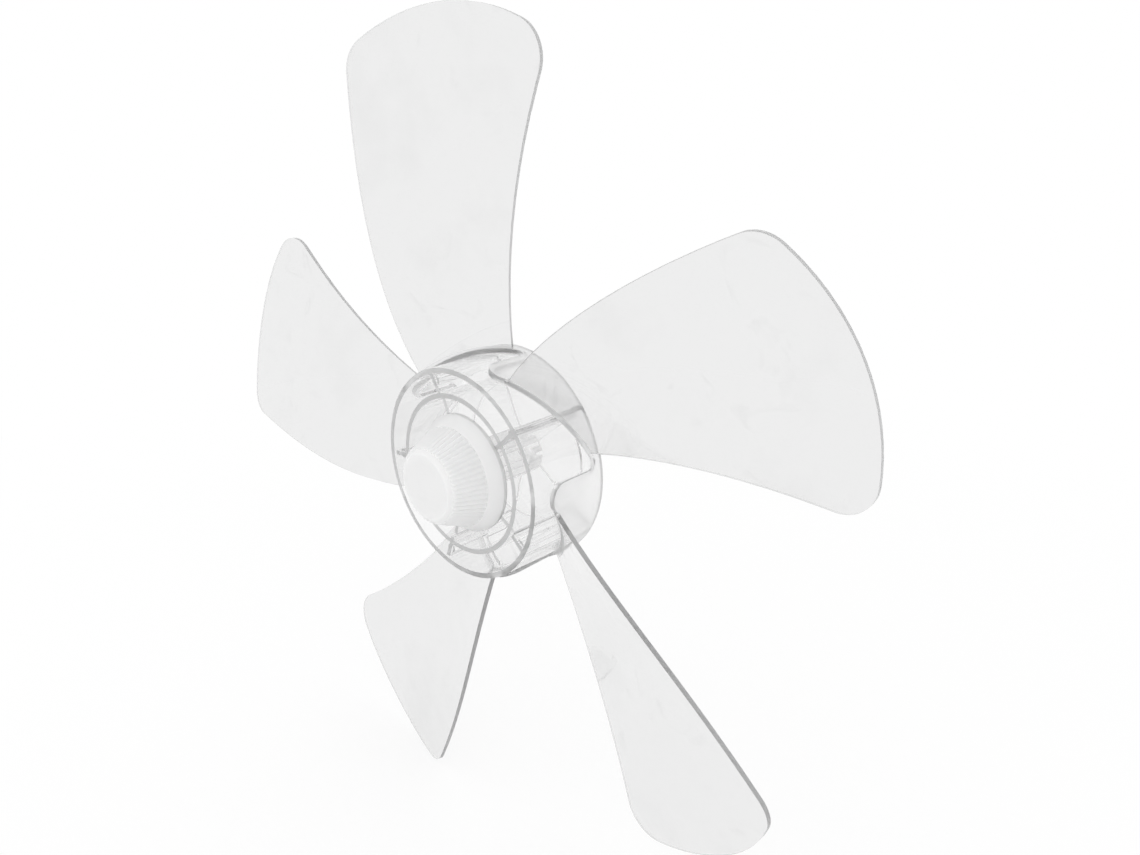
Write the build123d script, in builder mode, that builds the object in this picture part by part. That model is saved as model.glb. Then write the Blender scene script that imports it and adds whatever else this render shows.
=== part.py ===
"""Clear five-blade fan wheel with its milky spinner nut.

Millimetres. The shaft axis is Y, the front of the fan faces -Y and Z is up.
Heights are measured from the flat back of the hub towards the front.
"""
import math
import os

from build123d import *

os.makedirs("parts", exist_ok=True)

# Whole wheel
blade_count = 5
blade_pitch = 360.0 / blade_count
first_blade_angle = 98.7
tip_radius = 190.0
tip_offset = 1.5

# Hub shell
hub_depth = 41.0
rim_radius = 47.0
core_draft = 0.5
wall = 2.3
skirt_step = 2.2
skirt_draft = 0.6
back_plate = 2.4
back_bevel = 3.0
hollow_bevel = 1.6

# Saw-tooth front edge of the skirt, angles from the blade's middle line
tooth_front_angle = 53.5
tooth_back_angle = 39.0
tooth_top = 32.8
tooth_radius = 7.0
tooth_corner_radius = 3.0

# Blade: outline points in the plane of rotation, x outwards along the blade
blade_thickness = 1.9
trail_root = (36.0, 28.9)
trail_middle = (104.0, 44.6)
trail_corner = (178.0, 47.9)
lead_corner = (169.1, -55.0)
lead_middle = (115.6, -27.9)
lead_root = (44.0, -8.0)
trail_corner_radius = 13.5
lead_corner_radius = 15.0

# Blade surface: height of the middle line, slope and camber across it at three radii
surface_radii = (47.0, 113.0, 185.0)
surface_heights = (13.4, 21.0, 20.1)
surface_slopes = (0.514, 0.288, 0.173)
surface_cambers = (0.0026, 0.001, 0.001)
sheet_margin = 6.0
sheet_rows = 9
sheet_columns = 9

# Stiffening inside the hub
ring_radius = 36.0
ring_wall = 2.2
rib_thickness = 2.0
rib_angle = 13.2
rib_wall_height = 40.0
rib_ring_height = 38.4
seat_height = 37.0
pad_radius = 2.2
pad_centre = 41.2
boss_radius = 11.0

# Shaft bore and the slot for the cross pin at the back
bore_radius = 4.03
pin_slot_width = 3.2
pin_slot_length = 18.0
pin_slot_depth = 5.0

# Spinner nut
flange_radius = 26.4
flange_edge = 1.7
grip_base_radius = 22.4
grip_base_height = 44.0
grip_top_radius = 16.9
grip_top_height = 57.5
cap_ledge = 0.3
cap_bevel = 1.6
grip_count = 56
grip_groove = 0.032
grip_core = 0.95
nut_wall = 2.0
nut_boss_radius = 8.0
nut_thread_radius = 3.4
nut_thread_depth = 16.0
nut_lead_radius = 5.0
nut_lead_depth = 3.0

# Length of the trimming shapes, past all that they trim
past_all = 2 * tip_radius

# Frame of the wheel: origin on the shaft axis at the seat of the cross pin
front = Plane(origin=(0, pin_slot_depth, 0), x_dir=(1, 0, 0), z_dir=(0, -1, 0))
shaft_axis = Axis(origin=(0, 0, 0), direction=(0, 1, 0))


def through_three(radius, values):
    """Smooth value at a radius, through the three given stations."""
    total = 0.0
    for i, station in enumerate(surface_radii):
        weight = values[i]
        for j, other in enumerate(surface_radii):
            if j != i:
                weight *= (radius - other) / (station - other)
        total += weight
    return total


def blade_height(x, y):
    """Height of the blade's front surface above the back of the hub."""
    middle_line = through_three(x, surface_heights)
    return middle_line + through_three(x, surface_slopes) * y + through_three(x, surface_cambers) * y * y


def on_polar(radius, angle, height=0.0):
    """Point at a radius and angle in the plane of rotation."""
    turn = math.radians(angle)
    return (radius * math.cos(turn), radius * math.sin(turn), height)


# Front surface of one blade, larger than its outline all round
sheet_start = trail_root[0] - sheet_margin
sheet_end = tip_radius + sheet_margin
sheet_lead = lead_corner[1] - sheet_margin
sheet_trail = trail_corner[1] + sheet_margin
grid = []
for row in range(sheet_rows):
    x = sheet_start + (sheet_end - sheet_start) * row / (sheet_rows - 1)
    line = []
    for column in range(sheet_columns):
        y = sheet_lead + (sheet_trail - sheet_lead) * column / (sheet_columns - 1)
        line.append(Vector(x, y, blade_height(x, y)))
    grid.append(line)
blade_front = Face.make_surface_from_array_of_points(grid)

# Outline of one blade along +X
with BuildPart() as blade_trim:
    with BuildSketch() as outline:
        with BuildLine():
            ThreePointArc(trail_root, trail_middle, trail_corner)
            ThreePointArc(trail_corner, (tip_radius, tip_offset), lead_corner)
            ThreePointArc(lead_corner, lead_middle, lead_root)
            Line(lead_root, trail_root)
        make_face()
        fillet(outline.vertices().sort_by(Axis.Y)[0], lead_corner_radius)
        fillet(outline.vertices().sort_by(Axis.Y)[-1], trail_corner_radius)
    extrude(amount=past_all, both=True)

# One blade: its front surface within the outline, thickened towards the back
with BuildPart() as blade:
    thicken(blade_front.intersect(blade_trim.part).faces()[0], amount=-blade_thickness)

# Radii of the hub's wall: the skirt behind the blades, and the hollows within
skirt_outer = rim_radius + core_draft + skirt_step
skirt_back = skirt_outer - skirt_draft
skirt_hollow_radius = skirt_outer - wall
hollow_radius = rim_radius - wall
room_outer = skirt_outer + wall
room_inner = hollow_radius - wall
step_lean = math.atan(surface_slopes[0])


def step_room(set_back):
    """Room in front of one blade's root and round the arched end of one tooth of the skirt.

    It shapes the step on the outside of the hub, and, set back by the wall, on the inside.
    """
    room_start = tooth_front_angle - blade_pitch - math.degrees(set_back / skirt_outer)
    drop = set_back / math.cos(step_lean)
    corner_radius = tooth_corner_radius + set_back
    arch_radius = tooth_radius - set_back
    arch_angle = tooth_front_angle - math.degrees(math.asin(tooth_radius / skirt_outer))
    arch_height = tooth_top - tooth_radius
    with BuildPart() as room:
        extrude(Pos(0, 0, -drop) * blade_front, amount=past_all, dir=(0, 0, 1))
        with BuildSketch(Plane.XY):
            with BuildLine():
                CenterArc((0, 0), room_outer, room_start, tooth_back_angle - room_start)
                Line(on_polar(room_outer, tooth_back_angle), on_polar(room_inner, tooth_back_angle))
                CenterArc((0, 0), room_inner, room_start, tooth_back_angle - room_start)
                Line(on_polar(room_inner, room_start), on_polar(room_outer, room_start))
            make_face()
        extrude(amount=past_all, both=True, mode=Mode.INTERSECT)
        # Its low corner is rounded: what lies outside the rounding stays on the skirt
        corner_x, corner_y, _ = on_polar(skirt_outer, room_start)
        reach = corner_radius / math.tan((math.pi / 2 - step_lean) / 2)
        corner = Plane(
            origin=(0, 0, blade_height(corner_x, corner_y) - drop),
            x_dir=on_polar(1, room_start + 90),
            z_dir=on_polar(1, room_start),
        )
        with BuildSketch(corner):
            with BuildLine():
                Polyline(
                    (-wall, reach),
                    (corner_radius, reach),
                    (reach * math.cos(step_lean), reach * math.sin(step_lean)),
                    (reach * math.cos(step_lean), reach * math.sin(step_lean) - wall),
                    (-wall, -wall),
                    close=True,
                )
            make_face()
            with Locations((corner_radius, reach)):
                Circle(corner_radius, mode=Mode.SUBTRACT)
        extrude(amount=past_all, mode=Mode.SUBTRACT)
    with BuildPart() as tooth_end:
        with BuildSketch(Plane.XY.offset(arch_height)):
            with BuildLine():
                CenterArc((0, 0), room_outer, tooth_back_angle, tooth_front_angle - tooth_back_angle)
                Line(on_polar(room_outer, tooth_front_angle), on_polar(room_inner, tooth_front_angle))
                CenterArc((0, 0), room_inner, tooth_back_angle, tooth_front_angle - tooth_back_angle)
                Line(on_polar(room_inner, tooth_back_angle), on_polar(room_outer, tooth_back_angle))
            make_face()
        extrude(amount=hub_depth)
        arch = Plane(origin=(0, 0, arch_height), x_dir=(0, 0, 1), z_dir=on_polar(1, arch_angle))
        with BuildSketch(arch):
            Circle(arch_radius)
        extrude(amount=past_all, mode=Mode.SUBTRACT)
    return room.part, tooth_end.part


# Hollow behind the step, wider than the rest so that the wall keeps its thickness
with BuildPart() as skirt_hollow:
    with BuildSketch(Plane.XZ):
        with BuildLine():
            Polyline(
                (hollow_radius - wall / 2, back_plate),
                (skirt_back - wall - hollow_bevel, back_plate),
                (skirt_back - wall, back_plate + hollow_bevel),
                (skirt_hollow_radius, tooth_top),
                (hollow_radius - wall / 2, tooth_top),
                close=True,
            )
        make_face()
    revolve(axis=Axis.Z)
    with PolarLocations(0, blade_count):
        for room in step_room(wall):
            add(room, mode=Mode.SUBTRACT)

# One stiffening rib along +X, with the round pad where it meets the wall
with BuildPart() as rib:
    with BuildSketch(Plane.XZ):
        with BuildLine():
            inside_wall = rim_radius - wall / 2
            under_floor = back_plate / 2
            foot_x, foot_y, _ = on_polar(inside_wall, rib_angle)
            foot_height = blade_height(foot_x, foot_y) - wall / 2
            Polyline(
                (boss_radius / 2, under_floor),
                (inside_wall, under_floor),
                (skirt_hollow_radius, back_plate),
                (skirt_hollow_radius, foot_height),
                (inside_wall, foot_height),
                (inside_wall, rib_wall_height),
                (ring_radius - ring_wall / 2, rib_ring_height),
                (ring_radius - ring_wall / 2, seat_height),
                (boss_radius / 2, seat_height),
                close=True,
            )
        make_face()
    extrude(amount=rib_thickness / 2, both=True)
    with BuildSketch(Plane.XY.offset(under_floor)):
        with Locations((pad_centre, 0)):
            Circle(pad_radius)
    extrude(amount=rib_ring_height - under_floor)

# The wheel: hub shell, blades, ring, ribs and boss in one moulding
with BuildPart(front) as fan_wheel:
    # Skirt of larger radius behind the blades, its front edge stepped along their roots
    with BuildSketch(front * Plane.XZ):
        with BuildLine():
            Polyline(
                (0, 0),
                (skirt_back - back_bevel, 0),
                (skirt_back, back_bevel),
                (skirt_outer, tooth_top),
                (skirt_outer, hub_depth),
                (0, hub_depth),
                close=True,
            )
        make_face()
    revolve(axis=shaft_axis)
    with PolarLocations(0, blade_count, start_angle=first_blade_angle):
        for room in step_room(0):
            add(room, mode=Mode.SUBTRACT)
    # Plain core of the hub, which shows in front of the blades
    with BuildSketch(front * Plane.XZ):
        with BuildLine():
            Polyline(
                (0, back_plate),
                (rim_radius + core_draft, back_plate),
                (rim_radius, hub_depth),
                (0, hub_depth),
                close=True,
            )
        make_face()
    revolve(axis=shaft_axis)
    with PolarLocations(0, blade_count, start_angle=first_blade_angle):
        add(blade.part)
    # Hollow of the hub, open to the front
    with BuildSketch(front.offset(back_plate)):
        Circle(hollow_radius)
    extrude(amount=hub_depth - back_plate, mode=Mode.SUBTRACT)
    with PolarLocations(0, 1, start_angle=first_blade_angle):
        add(skirt_hollow.part, mode=Mode.SUBTRACT)
    # Ring, ribs and boss standing on the back plate
    with BuildSketch(front.offset(back_plate / 2)):
        Circle(ring_radius)
        Circle(ring_radius - ring_wall, mode=Mode.SUBTRACT)
    extrude(amount=hub_depth - back_plate / 2)
    with PolarLocations(0, blade_count, start_angle=first_blade_angle + rib_angle):
        add(rib.part)
    with BuildSketch(front):
        Circle(boss_radius)
    extrude(amount=seat_height)
    # Shaft bore right through the boss and the cross-pin slot across its back
    with BuildSketch(front):
        Circle(bore_radius)
    extrude(amount=seat_height, mode=Mode.SUBTRACT)
    with BuildSketch(front):
        SlotOverall(pin_slot_length, pin_slot_width)
    extrude(amount=pin_slot_depth, mode=Mode.SUBTRACT)
fan_wheel.part.label = "fan_wheel"
export_step(fan_wheel.part, "parts/fan_wheel.step")

# Spinner nut: flanged, tapered, with a finger grip round its side and a closed end
groove_base = grip_base_radius * grip_core
groove_top = grip_top_radius * grip_core
with BuildPart(front) as spinner_nut:
    with BuildSketch(front * Plane.XZ):
        with BuildLine():
            cap_edge = grip_top_radius * (1 - grip_groove) - cap_ledge
            cap_top = grip_top_height + cap_bevel
            Polyline(
                (0, seat_height),
                (flange_radius, seat_height),
                (flange_radius, seat_height + flange_edge),
                (grip_base_radius, grip_base_height),
                (groove_base, grip_base_height),
                (groove_top, grip_top_height),
                (cap_edge, grip_top_height),
                (cap_edge - cap_bevel, cap_top),
                (0, cap_top),
                close=True,
            )
        make_face()
    revolve(axis=shaft_axis)
    for height, radius in ((grip_base_height, grip_base_radius), (grip_top_height, grip_top_radius)):
        with BuildSketch(front.offset(height)):
            with BuildLine():
                Polyline(
                    *[
                        on_polar(radius * (1 - grip_groove * (step % 2)), 180.0 * step / grip_count)[:2]
                        for step in range(2 * grip_count)
                    ],
                    close=True,
                )
            make_face()
    loft(ruled=True)
    # Hollow underside with a threaded boss in its middle
    with BuildSketch(front * Plane.XZ):
        with BuildLine():
            Polyline(
                (nut_boss_radius, seat_height),
                (groove_base - nut_wall, seat_height),
                (groove_base - nut_wall, grip_base_height),
                (groove_top - nut_wall, grip_base_height),
                (groove_top - nut_wall, grip_top_height - nut_wall),
                (nut_boss_radius, grip_top_height - nut_wall),
                close=True,
            )
        make_face()
    revolve(axis=shaft_axis, mode=Mode.SUBTRACT)
    with BuildSketch(front.offset(seat_height)):
        Circle(nut_thread_radius)
    extrude(amount=nut_thread_depth, mode=Mode.SUBTRACT)
    with BuildSketch(front.offset(seat_height)):
        Circle(nut_lead_radius)
    extrude(amount=nut_lead_depth, mode=Mode.SUBTRACT)
spinner_nut.part.label = "spinner_nut"
export_step(spinner_nut.part, "parts/spinner_nut.step")
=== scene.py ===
import bpy
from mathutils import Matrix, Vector


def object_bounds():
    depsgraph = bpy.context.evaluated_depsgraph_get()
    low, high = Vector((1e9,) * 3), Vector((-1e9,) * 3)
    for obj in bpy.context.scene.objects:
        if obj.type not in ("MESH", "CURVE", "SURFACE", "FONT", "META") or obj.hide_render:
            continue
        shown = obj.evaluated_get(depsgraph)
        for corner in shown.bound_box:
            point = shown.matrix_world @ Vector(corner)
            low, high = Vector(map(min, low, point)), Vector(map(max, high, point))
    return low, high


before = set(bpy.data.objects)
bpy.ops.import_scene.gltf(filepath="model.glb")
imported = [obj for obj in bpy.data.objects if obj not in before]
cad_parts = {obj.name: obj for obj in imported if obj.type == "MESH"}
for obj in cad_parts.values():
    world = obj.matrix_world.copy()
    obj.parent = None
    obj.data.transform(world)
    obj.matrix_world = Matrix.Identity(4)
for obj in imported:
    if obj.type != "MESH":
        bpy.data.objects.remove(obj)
cad_box = [list(corner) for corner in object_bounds()]

# The fan wheel is one injection moulding in clear styrene plastic: hub, ring, ribs and blades.
# Its faces come polished from the mould, and the hub's skirt satin. The blades' sides and the front
# ends of the hub's walls are finely matt, and handling leaves faint smears.
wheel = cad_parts["fan_wheel"]
hub_reach = 0.0505
hub_back = -0.001
skirt_radius = 0.0489
skirt_spread = 0.0011
level_from = 0.7
hub_clear = (0.988, 0.988, 0.988, 1.0)
blade_clear = (0.865, 0.865, 0.865, 1.0)
blade_smeared = (0.83, 0.83, 0.83, 1.0)
# Painted shade for the cut edges: the front ends of the hub's walls, and darker, the blades' sides
hub_edge_painted_shade = (0.78, 0.78, 0.78, 1.0)
blade_edge_painted_shade = (0.5, 0.5, 0.5, 1.0)
wall_depth_grey = (0.61, 0.61, 0.61, 1.0)
polished_roughness = 0.02
smeared_roughness = 0.08
skirt_roughness = 0.3
edge_roughness = 0.3
turns_in_wall = 8.5
lamp_light_passed = 0.9

# Smears are soft patches left by fingers and thin streaks left by wiping
smears = bpy.data.node_groups.new("handling_smears", "ShaderNodeTree")
smears.interface.new_socket("Vector", in_out="INPUT", socket_type="NodeSocketVector")
for name in ("Patch Scale", "Streak Scale"):
    smears.interface.new_socket(name, in_out="INPUT", socket_type="NodeSocketFloat")
for name in ("Patches", "Streaks"):
    smears.interface.new_socket(name, in_out="OUTPUT", socket_type="NodeSocketFloat")
link = smears.links.new
given = smears.nodes.new("NodeGroupInput")
result = smears.nodes.new("NodeGroupOutput")
patch_noise = smears.nodes.new("ShaderNodeTexNoise")
patch_noise.inputs["Detail"].default_value = 5.0
patch_noise.inputs["Roughness"].default_value = 0.62
patch_range = smears.nodes.new("ShaderNodeMapRange")
patch_range.inputs["From Min"].default_value = 0.52
patch_range.inputs["From Max"].default_value = 0.74
streak_noise = smears.nodes.new("ShaderNodeTexNoise")
streak_noise.inputs["Detail"].default_value = 2.0
streak_noise.inputs["Distortion"].default_value = 1.4
streak_range = smears.nodes.new("ShaderNodeMapRange")
streak_range.inputs["From Min"].default_value = 0.64
streak_range.inputs["From Max"].default_value = 0.72
link(given.outputs["Vector"], patch_noise.inputs["Vector"])
link(given.outputs["Patch Scale"], patch_noise.inputs["Scale"])
link(patch_noise.outputs["Fac"], patch_range.inputs["Value"])
link(patch_range.outputs["Result"], result.inputs["Patches"])
link(given.outputs["Vector"], streak_noise.inputs["Vector"])
link(given.outputs["Streak Scale"], streak_noise.inputs["Scale"])
link(streak_noise.outputs["Fac"], streak_range.inputs["Value"])
link(streak_range.outputs["Result"], result.inputs["Streaks"])

clear_plastic = bpy.data.materials.new("clear_plastic_moulded")
clear_plastic.use_nodes = True
tree = clear_plastic.node_tree
link = tree.links.new
plastic = tree.nodes["Principled BSDF"]
plastic.inputs["Metallic"].default_value = 0.0
plastic.inputs["Transmission Weight"].default_value = 1.0
plastic.inputs["IOR"].default_value = 1.5
place = tree.nodes.new("ShaderNodeTexCoord")
marks = tree.nodes.new("ShaderNodeGroup")
marks.node_tree = smears
marks.inputs["Patch Scale"].default_value = 22.0
marks.inputs["Streak Scale"].default_value = 60.0
link(place.outputs["Object"], marks.inputs["Vector"])

# The distance from the shaft tells the hub, the satin skirt and the blades from each other
apart = tree.nodes.new("ShaderNodeSeparateXYZ")
across = tree.nodes.new("ShaderNodeCombineXYZ")
radius = tree.nodes.new("ShaderNodeVectorMath")
radius.operation = "LENGTH"
link(place.outputs["Object"], apart.inputs["Vector"])
link(apart.outputs["X"], across.inputs["X"])
link(apart.outputs["Z"], across.inputs["Y"])
link(across.outputs["Vector"], radius.inputs[0])
off_hub = tree.nodes.new("ShaderNodeMath")
off_hub.operation = "GREATER_THAN"
off_hub.inputs[1].default_value = hub_reach
link(radius.outputs["Value"], off_hub.inputs[0])

# Cut edges are the front ends of the hub's walls, which face along the shaft, and the blades' sides,
# which don't: of facing along the shaft and being off the hub, just one holds there
facing = tree.nodes.new("ShaderNodeSeparateXYZ")
slant = tree.nodes.new("ShaderNodeMath")
slant.operation = "ABSOLUTE"
level = tree.nodes.new("ShaderNodeMath")
level.operation = "GREATER_THAN"
level.inputs[1].default_value = level_from
count = tree.nodes.new("ShaderNodeMath")
count.operation = "ADD"
just_one = tree.nodes.new("ShaderNodeMath")
just_one.operation = "COMPARE"
just_one.inputs[1].default_value = 1.0
just_one.inputs[2].default_value = 0.5
ahead = tree.nodes.new("ShaderNodeMath")
ahead.operation = "LESS_THAN"
ahead.inputs[1].default_value = hub_back
cut = tree.nodes.new("ShaderNodeMath")
cut.operation = "MULTIPLY"
link(place.outputs["Normal"], facing.inputs["Vector"])
link(facing.outputs["Y"], slant.inputs[0])
link(slant.outputs["Value"], level.inputs[0])
link(level.outputs["Value"], count.inputs[0])
link(off_hub.outputs["Value"], count.inputs[1])
link(count.outputs["Value"], just_one.inputs[0])
link(apart.outputs["Y"], ahead.inputs[0])
link(just_one.outputs["Value"], cut.inputs[0])
link(ahead.outputs["Value"], cut.inputs[1])

# The blades are a little greyer than the hub, and smears and streaks grey them more
worn = tree.nodes.new("ShaderNodeMath")
worn.operation = "MAXIMUM"
link(marks.outputs["Patches"], worn.inputs[0])
link(marks.outputs["Streaks"], worn.inputs[1])
blade_tint = tree.nodes.new("ShaderNodeMix")
blade_tint.data_type = "RGBA"
blade_tint.inputs["A"].default_value = blade_clear
blade_tint.inputs["B"].default_value = blade_smeared
link(worn.outputs["Value"], blade_tint.inputs["Factor"])
face_tint = tree.nodes.new("ShaderNodeMix")
face_tint.data_type = "RGBA"
face_tint.inputs["A"].default_value = hub_clear
link(off_hub.outputs["Value"], face_tint.inputs["Factor"])
link(blade_tint.outputs["Result"], face_tint.inputs["B"])

# Cut edges seen from outside get painted shade in their colour, darkest at the blades. It stands in
# for the dimmer light seen down along a wall
side = tree.nodes.new("ShaderNodeNewGeometry")
painted_shade_mask = tree.nodes.new("ShaderNodeMath")
painted_shade_mask.operation = "SUBTRACT"
painted_shade_mask.use_clamp = True
edge_painted_shade = tree.nodes.new("ShaderNodeMix")
edge_painted_shade.data_type = "RGBA"
edge_painted_shade.inputs["A"].default_value = hub_edge_painted_shade
edge_painted_shade.inputs["B"].default_value = blade_edge_painted_shade
# The base colour takes the painted edge shade wherever the front-facing cut-edge mask holds
tint = tree.nodes.new("ShaderNodeMix")
tint.data_type = "RGBA"
link(cut.outputs["Value"], painted_shade_mask.inputs[0])
link(side.outputs["Backfacing"], painted_shade_mask.inputs[1])
link(off_hub.outputs["Value"], edge_painted_shade.inputs["Factor"])
link(painted_shade_mask.outputs["Value"], tint.inputs["Factor"])
link(face_tint.outputs["Result"], tint.inputs["A"])
link(edge_painted_shade.outputs["Result"], tint.inputs["B"])
link(tint.outputs["Result"], plastic.inputs["Base Color"])

# Smears dull the polish, the hub's skirt is satin, and cut edges are finely matt
polish = tree.nodes.new("ShaderNodeMapRange")
polish.inputs["To Min"].default_value = polished_roughness
polish.inputs["To Max"].default_value = smeared_roughness
link(marks.outputs["Patches"], polish.inputs["Value"])
skirt = tree.nodes.new("ShaderNodeMath")
skirt.operation = "COMPARE"
skirt.inputs[1].default_value = skirt_radius
skirt.inputs[2].default_value = skirt_spread
link(radius.outputs["Value"], skirt.inputs[0])
finish = tree.nodes.new("ShaderNodeMix")
finish.inputs["B"].default_value = skirt_roughness
link(skirt.outputs["Value"], finish.inputs["Factor"])
link(polish.outputs["Result"], finish.inputs["A"])
matt = tree.nodes.new("ShaderNodeMix")
matt.inputs["B"].default_value = edge_roughness
link(cut.outputs["Value"], matt.inputs["Factor"])
link(finish.outputs["Result"], matt.inputs["A"])
link(matt.outputs["Result"], plastic.inputs["Roughness"])

# Light from the lamps passes through with a thin grey shadow, and light caught for long between
# the faces of a wall is let out
rays = tree.nodes.new("ShaderNodeLightPath")
caught = tree.nodes.new("ShaderNodeMath")
caught.operation = "GREATER_THAN"
caught.inputs[1].default_value = turns_in_wall
let_out = tree.nodes.new("ShaderNodeMath")
let_out.operation = "MAXIMUM"
link(rays.outputs["Ray Depth"], caught.inputs[0])
link(rays.outputs["Is Shadow Ray"], let_out.inputs[0])
link(caught.outputs["Value"], let_out.inputs[1])
passing = tree.nodes.new("ShaderNodeBsdfTransparent")
shade = tree.nodes.new("ShaderNodeMapRange")
shade.inputs["To Min"].default_value = 1.0
shade.inputs["To Max"].default_value = lamp_light_passed
link(rays.outputs["Is Shadow Ray"], shade.inputs["Value"])
link(shade.outputs["Result"], passing.inputs["Color"])
surface = tree.nodes.new("ShaderNodeMixShader")
link(let_out.outputs["Value"], surface.inputs["Fac"])
link(plastic.outputs["BSDF"], surface.inputs[1])
link(passing.outputs["BSDF"], surface.inputs[2])
link(surface.outputs["Shader"], tree.nodes["Material Output"].inputs["Surface"])

# Looked at along a wall, from its edge, the plastic is greyer than across it
depth = tree.nodes.new("ShaderNodeVolumeAbsorption")
depth.inputs["Color"].default_value = wall_depth_grey
depth.inputs["Density"].default_value = 24.0
link(depth.outputs["Volume"], tree.nodes["Material Output"].inputs["Volume"])

wheel.data.materials.clear()
wheel.data.materials.append(clear_plastic)

# The spinner nut is moulded in milky plastic and screws on the end of the motor shaft, which
# clamps the wheel against its cross pin. Its skin is satin, with a fine moulded grain.
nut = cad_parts["spinner_nut"]
milky_white = (0.825, 0.825, 0.825, 1.0)
milky_smeared = (0.8, 0.8, 0.8, 1.0)
glow_through = 0.005
satin_roughness = 0.36
rubbed_roughness = 0.52
grain_height = 0.0002

milky_plastic = bpy.data.materials.new("milky_plastic_satin")
milky_plastic.use_nodes = True
tree = milky_plastic.node_tree
link = tree.links.new
plastic = tree.nodes["Principled BSDF"]
plastic.inputs["Metallic"].default_value = 0.0
plastic.inputs["Subsurface Weight"].default_value = 0.7
plastic.inputs["Subsurface Radius"].default_value = (1.0, 1.0, 1.0)
plastic.inputs["Subsurface Scale"].default_value = glow_through
place = tree.nodes.new("ShaderNodeTexCoord")
marks = tree.nodes.new("ShaderNodeGroup")
marks.node_tree = smears
marks.inputs["Patch Scale"].default_value = 90.0
marks.inputs["Streak Scale"].default_value = 300.0
link(place.outputs["Object"], marks.inputs["Vector"])
tint = tree.nodes.new("ShaderNodeMix")
tint.data_type = "RGBA"
tint.inputs["A"].default_value = milky_white
tint.inputs["B"].default_value = milky_smeared
link(marks.outputs["Patches"], tint.inputs["Factor"])
link(tint.outputs["Result"], plastic.inputs["Base Color"])
sheen = tree.nodes.new("ShaderNodeMapRange")
sheen.inputs["To Min"].default_value = satin_roughness
sheen.inputs["To Max"].default_value = rubbed_roughness
link(marks.outputs["Patches"], sheen.inputs["Value"])
link(sheen.outputs["Result"], plastic.inputs["Roughness"])
grain = tree.nodes.new("ShaderNodeTexNoise")
grain.inputs["Scale"].default_value = 2600.0
grain.inputs["Detail"].default_value = 2.0
bump = tree.nodes.new("ShaderNodeBump")
bump.inputs["Strength"].default_value = 0.12
bump.inputs["Distance"].default_value = grain_height
link(place.outputs["Object"], grain.inputs["Vector"])
link(grain.outputs["Fac"], bump.inputs["Height"])
link(bump.outputs["Normal"], plastic.inputs["Normal"])

nut.data.materials.clear()
nut.data.materials.append(milky_plastic)

# The floor is a plain pale studio sweep, level with the lowest blade tip. It is white to the lens
# and to what shines or shows through the plastic, and keeps a faint shadow near the wheel.
floor_level = cad_box[0][2]
floor_reach = 6.0
floor_corners = [
    (-floor_reach, -floor_reach, floor_level),
    (floor_reach, -floor_reach, floor_level),
    (floor_reach, floor_reach, floor_level),
    (-floor_reach, floor_reach, floor_level),
]
floor_white = (0.95, 0.95, 0.95, 1.0)
shadow_near = 0.2
shadow_end = 0.7
glow_under_wheel = 0.8

floor_mesh = bpy.data.meshes.new("studio_floor")
floor_mesh.from_pydata(floor_corners, [], [(0, 1, 2, 3)])
floor = bpy.data.objects.new("studio_floor", floor_mesh)
bpy.context.collection.objects.link(floor)
floor_paint = bpy.data.materials.new("studio_floor_paint")
floor_paint.use_nodes = True
tree = floor_paint.node_tree
link = tree.links.new
paint = tree.nodes["Principled BSDF"]
paint.inputs["Base Color"].default_value = floor_white
paint.inputs["Roughness"].default_value = 0.9
paint.inputs["Specular IOR Level"].default_value = 0.1
rays = tree.nodes.new("ShaderNodeLightPath")
glow = tree.nodes.new("ShaderNodeEmission")
glow.inputs["Strength"].default_value = 1.0
seen = tree.nodes.new("ShaderNodeMath")
seen.operation = "MAXIMUM"
shown = tree.nodes.new("ShaderNodeMath")
shown.operation = "MAXIMUM"
place = tree.nodes.new("ShaderNodeTexCoord")
away = tree.nodes.new("ShaderNodeVectorMath")
away.operation = "LENGTH"
share = tree.nodes.new("ShaderNodeMapRange")
share.inputs["From Min"].default_value = shadow_near
share.inputs["From Max"].default_value = shadow_end
share.inputs["To Min"].default_value = glow_under_wheel
share.inputs["To Max"].default_value = 1.0
white = tree.nodes.new("ShaderNodeMath")
white.operation = "MULTIPLY"
mixed = tree.nodes.new("ShaderNodeMixShader")
link(rays.outputs["Is Camera Ray"], seen.inputs[0])
link(rays.outputs["Is Glossy Ray"], seen.inputs[1])
link(seen.outputs["Value"], shown.inputs[0])
link(rays.outputs["Is Transmission Ray"], shown.inputs[1])
link(place.outputs["Object"], away.inputs[0])
link(away.outputs["Value"], share.inputs["Value"])
link(shown.outputs["Value"], white.inputs[0])
link(share.outputs["Result"], white.inputs[1])
link(white.outputs["Value"], mixed.inputs["Fac"])
link(paint.outputs["BSDF"], mixed.inputs[1])
link(glow.outputs["Emission"], mixed.inputs[2])
link(mixed.outputs["Shader"], tree.nodes["Material Output"].inputs["Surface"])
floor_mesh.materials.append(floor_paint)

# The room is a white studio. It is pure white to the lens and all round near the floor, and only
# a shade greyer overhead.
overhead_from = 0.25
overhead_full = 0.75
overhead_white = 0.95

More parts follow.
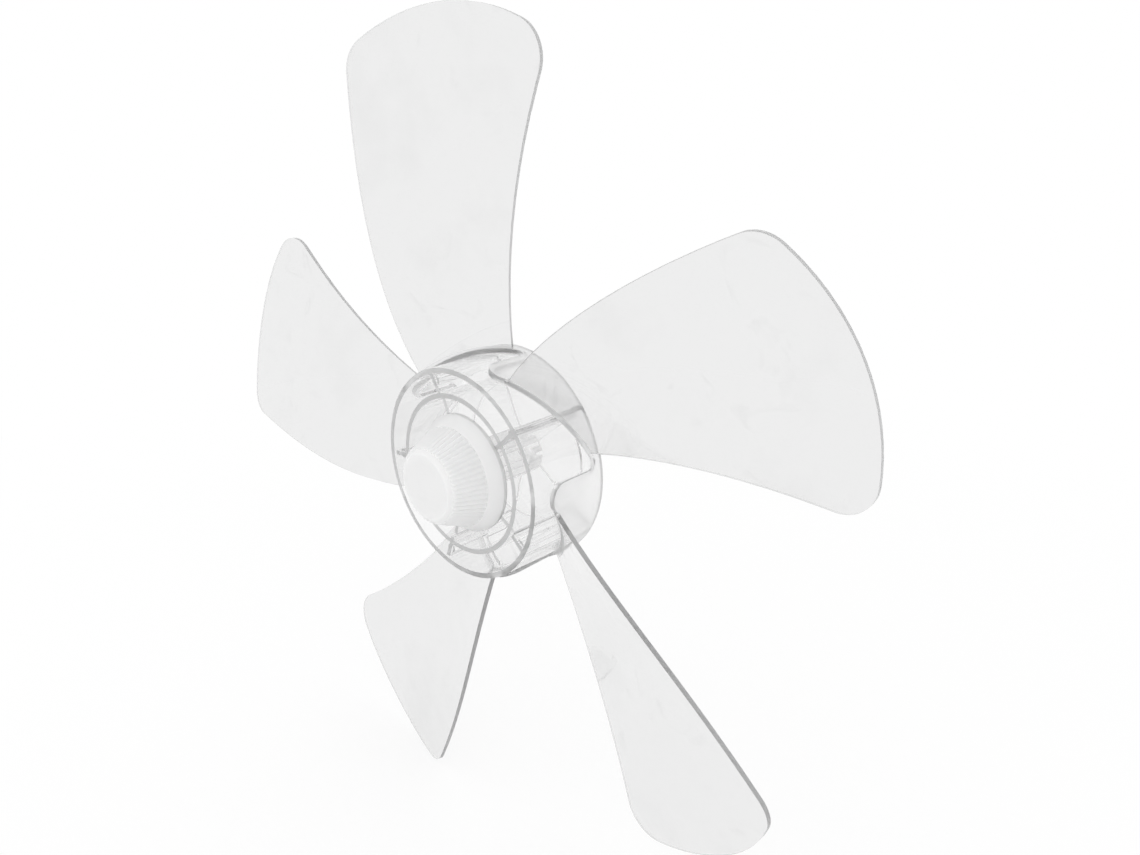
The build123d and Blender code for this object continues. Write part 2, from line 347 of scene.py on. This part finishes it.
room = bpy.data.worlds.new("studio_room")
bpy.context.scene.world = room
room.use_nodes = True
tree = room.node_tree
link = tree.links.new
sky = tree.nodes["Background"]
sky.inputs["Color"].default_value = (1.0, 1.0, 1.0, 1.0)
rays = tree.nodes.new("ShaderNodeLightPath")
place = tree.nodes.new("ShaderNodeTexCoord")
apart = tree.nodes.new("ShaderNodeSeparateXYZ")
fall = tree.nodes.new("ShaderNodeMapRange")
fall.inputs["From Min"].default_value = overhead_from
fall.inputs["From Max"].default_value = overhead_full
fall.inputs["To Min"].default_value = 1.0
fall.inputs["To Max"].default_value = overhead_white
strength = tree.nodes.new("ShaderNodeMath")
strength.operation = "MAXIMUM"
link(place.outputs["Generated"], apart.inputs["Vector"])
link(apart.outputs["Z"], fall.inputs["Value"])
link(rays.outputs["Is Camera Ray"], strength.inputs[0])
link(fall.outputs["Result"], strength.inputs[1])
link(strength.outputs["Value"], sky.inputs["Strength"])

# Two wide soft lamps of equal strength light the wheel, one high on the left and one on the right.
# They are kept out of what the plastic mirrors and of what shows through it.
lamp_size = 0.9
lamp_watts = 1.6
for name, spot in (
    ("key_softbox", (-0.7, -0.8, 1.0)),
    ("fill_softbox", (1.0, -0.5, 0.7)),
):
    lamp = bpy.data.lights.new(name, "AREA")
    lamp.shape = "SQUARE"
    lamp.size = lamp_size
    lamp.energy = lamp_watts
    holder = bpy.data.objects.new(name, lamp)
    holder.location = spot
    holder.rotation_euler = Vector(spot).to_track_quat("Z", "Y").to_euler()
    holder.visible_glossy = False
    holder.visible_transmission = False
    bpy.context.collection.objects.link(holder)

# The camera stands where the photograph was taken from, to the right and a little above. Light may
# bounce many times inside the clear walls before it comes out.
camera_spot = (0.31506, -0.29554, 0.18169)
camera_aim = Vector((-0.6437, 0.6715, -0.367))
bounces_in_plastic = 20
layers_let_through = 48

lens = bpy.data.cameras.new("studio_camera")
lens.sensor_width = 36.0
lens.lens = 32.744
lens.clip_start = 0.01
lens.clip_end = 50.0
camera = bpy.data.objects.new("studio_camera", lens)
camera.location = camera_spot
camera.rotation_euler = camera_aim.to_track_quat("-Z", "Y").to_euler()
bpy.context.collection.objects.link(camera)
scene = bpy.context.scene
scene.camera = camera
scene.view_settings.view_transform = "Standard"
scene.cycles.max_bounces = bounces_in_plastic
scene.cycles.transmission_bounces = bounces_in_plastic
scene.cycles.glossy_bounces = bounces_in_plastic
scene.cycles.transparent_max_bounces = layers_let_through
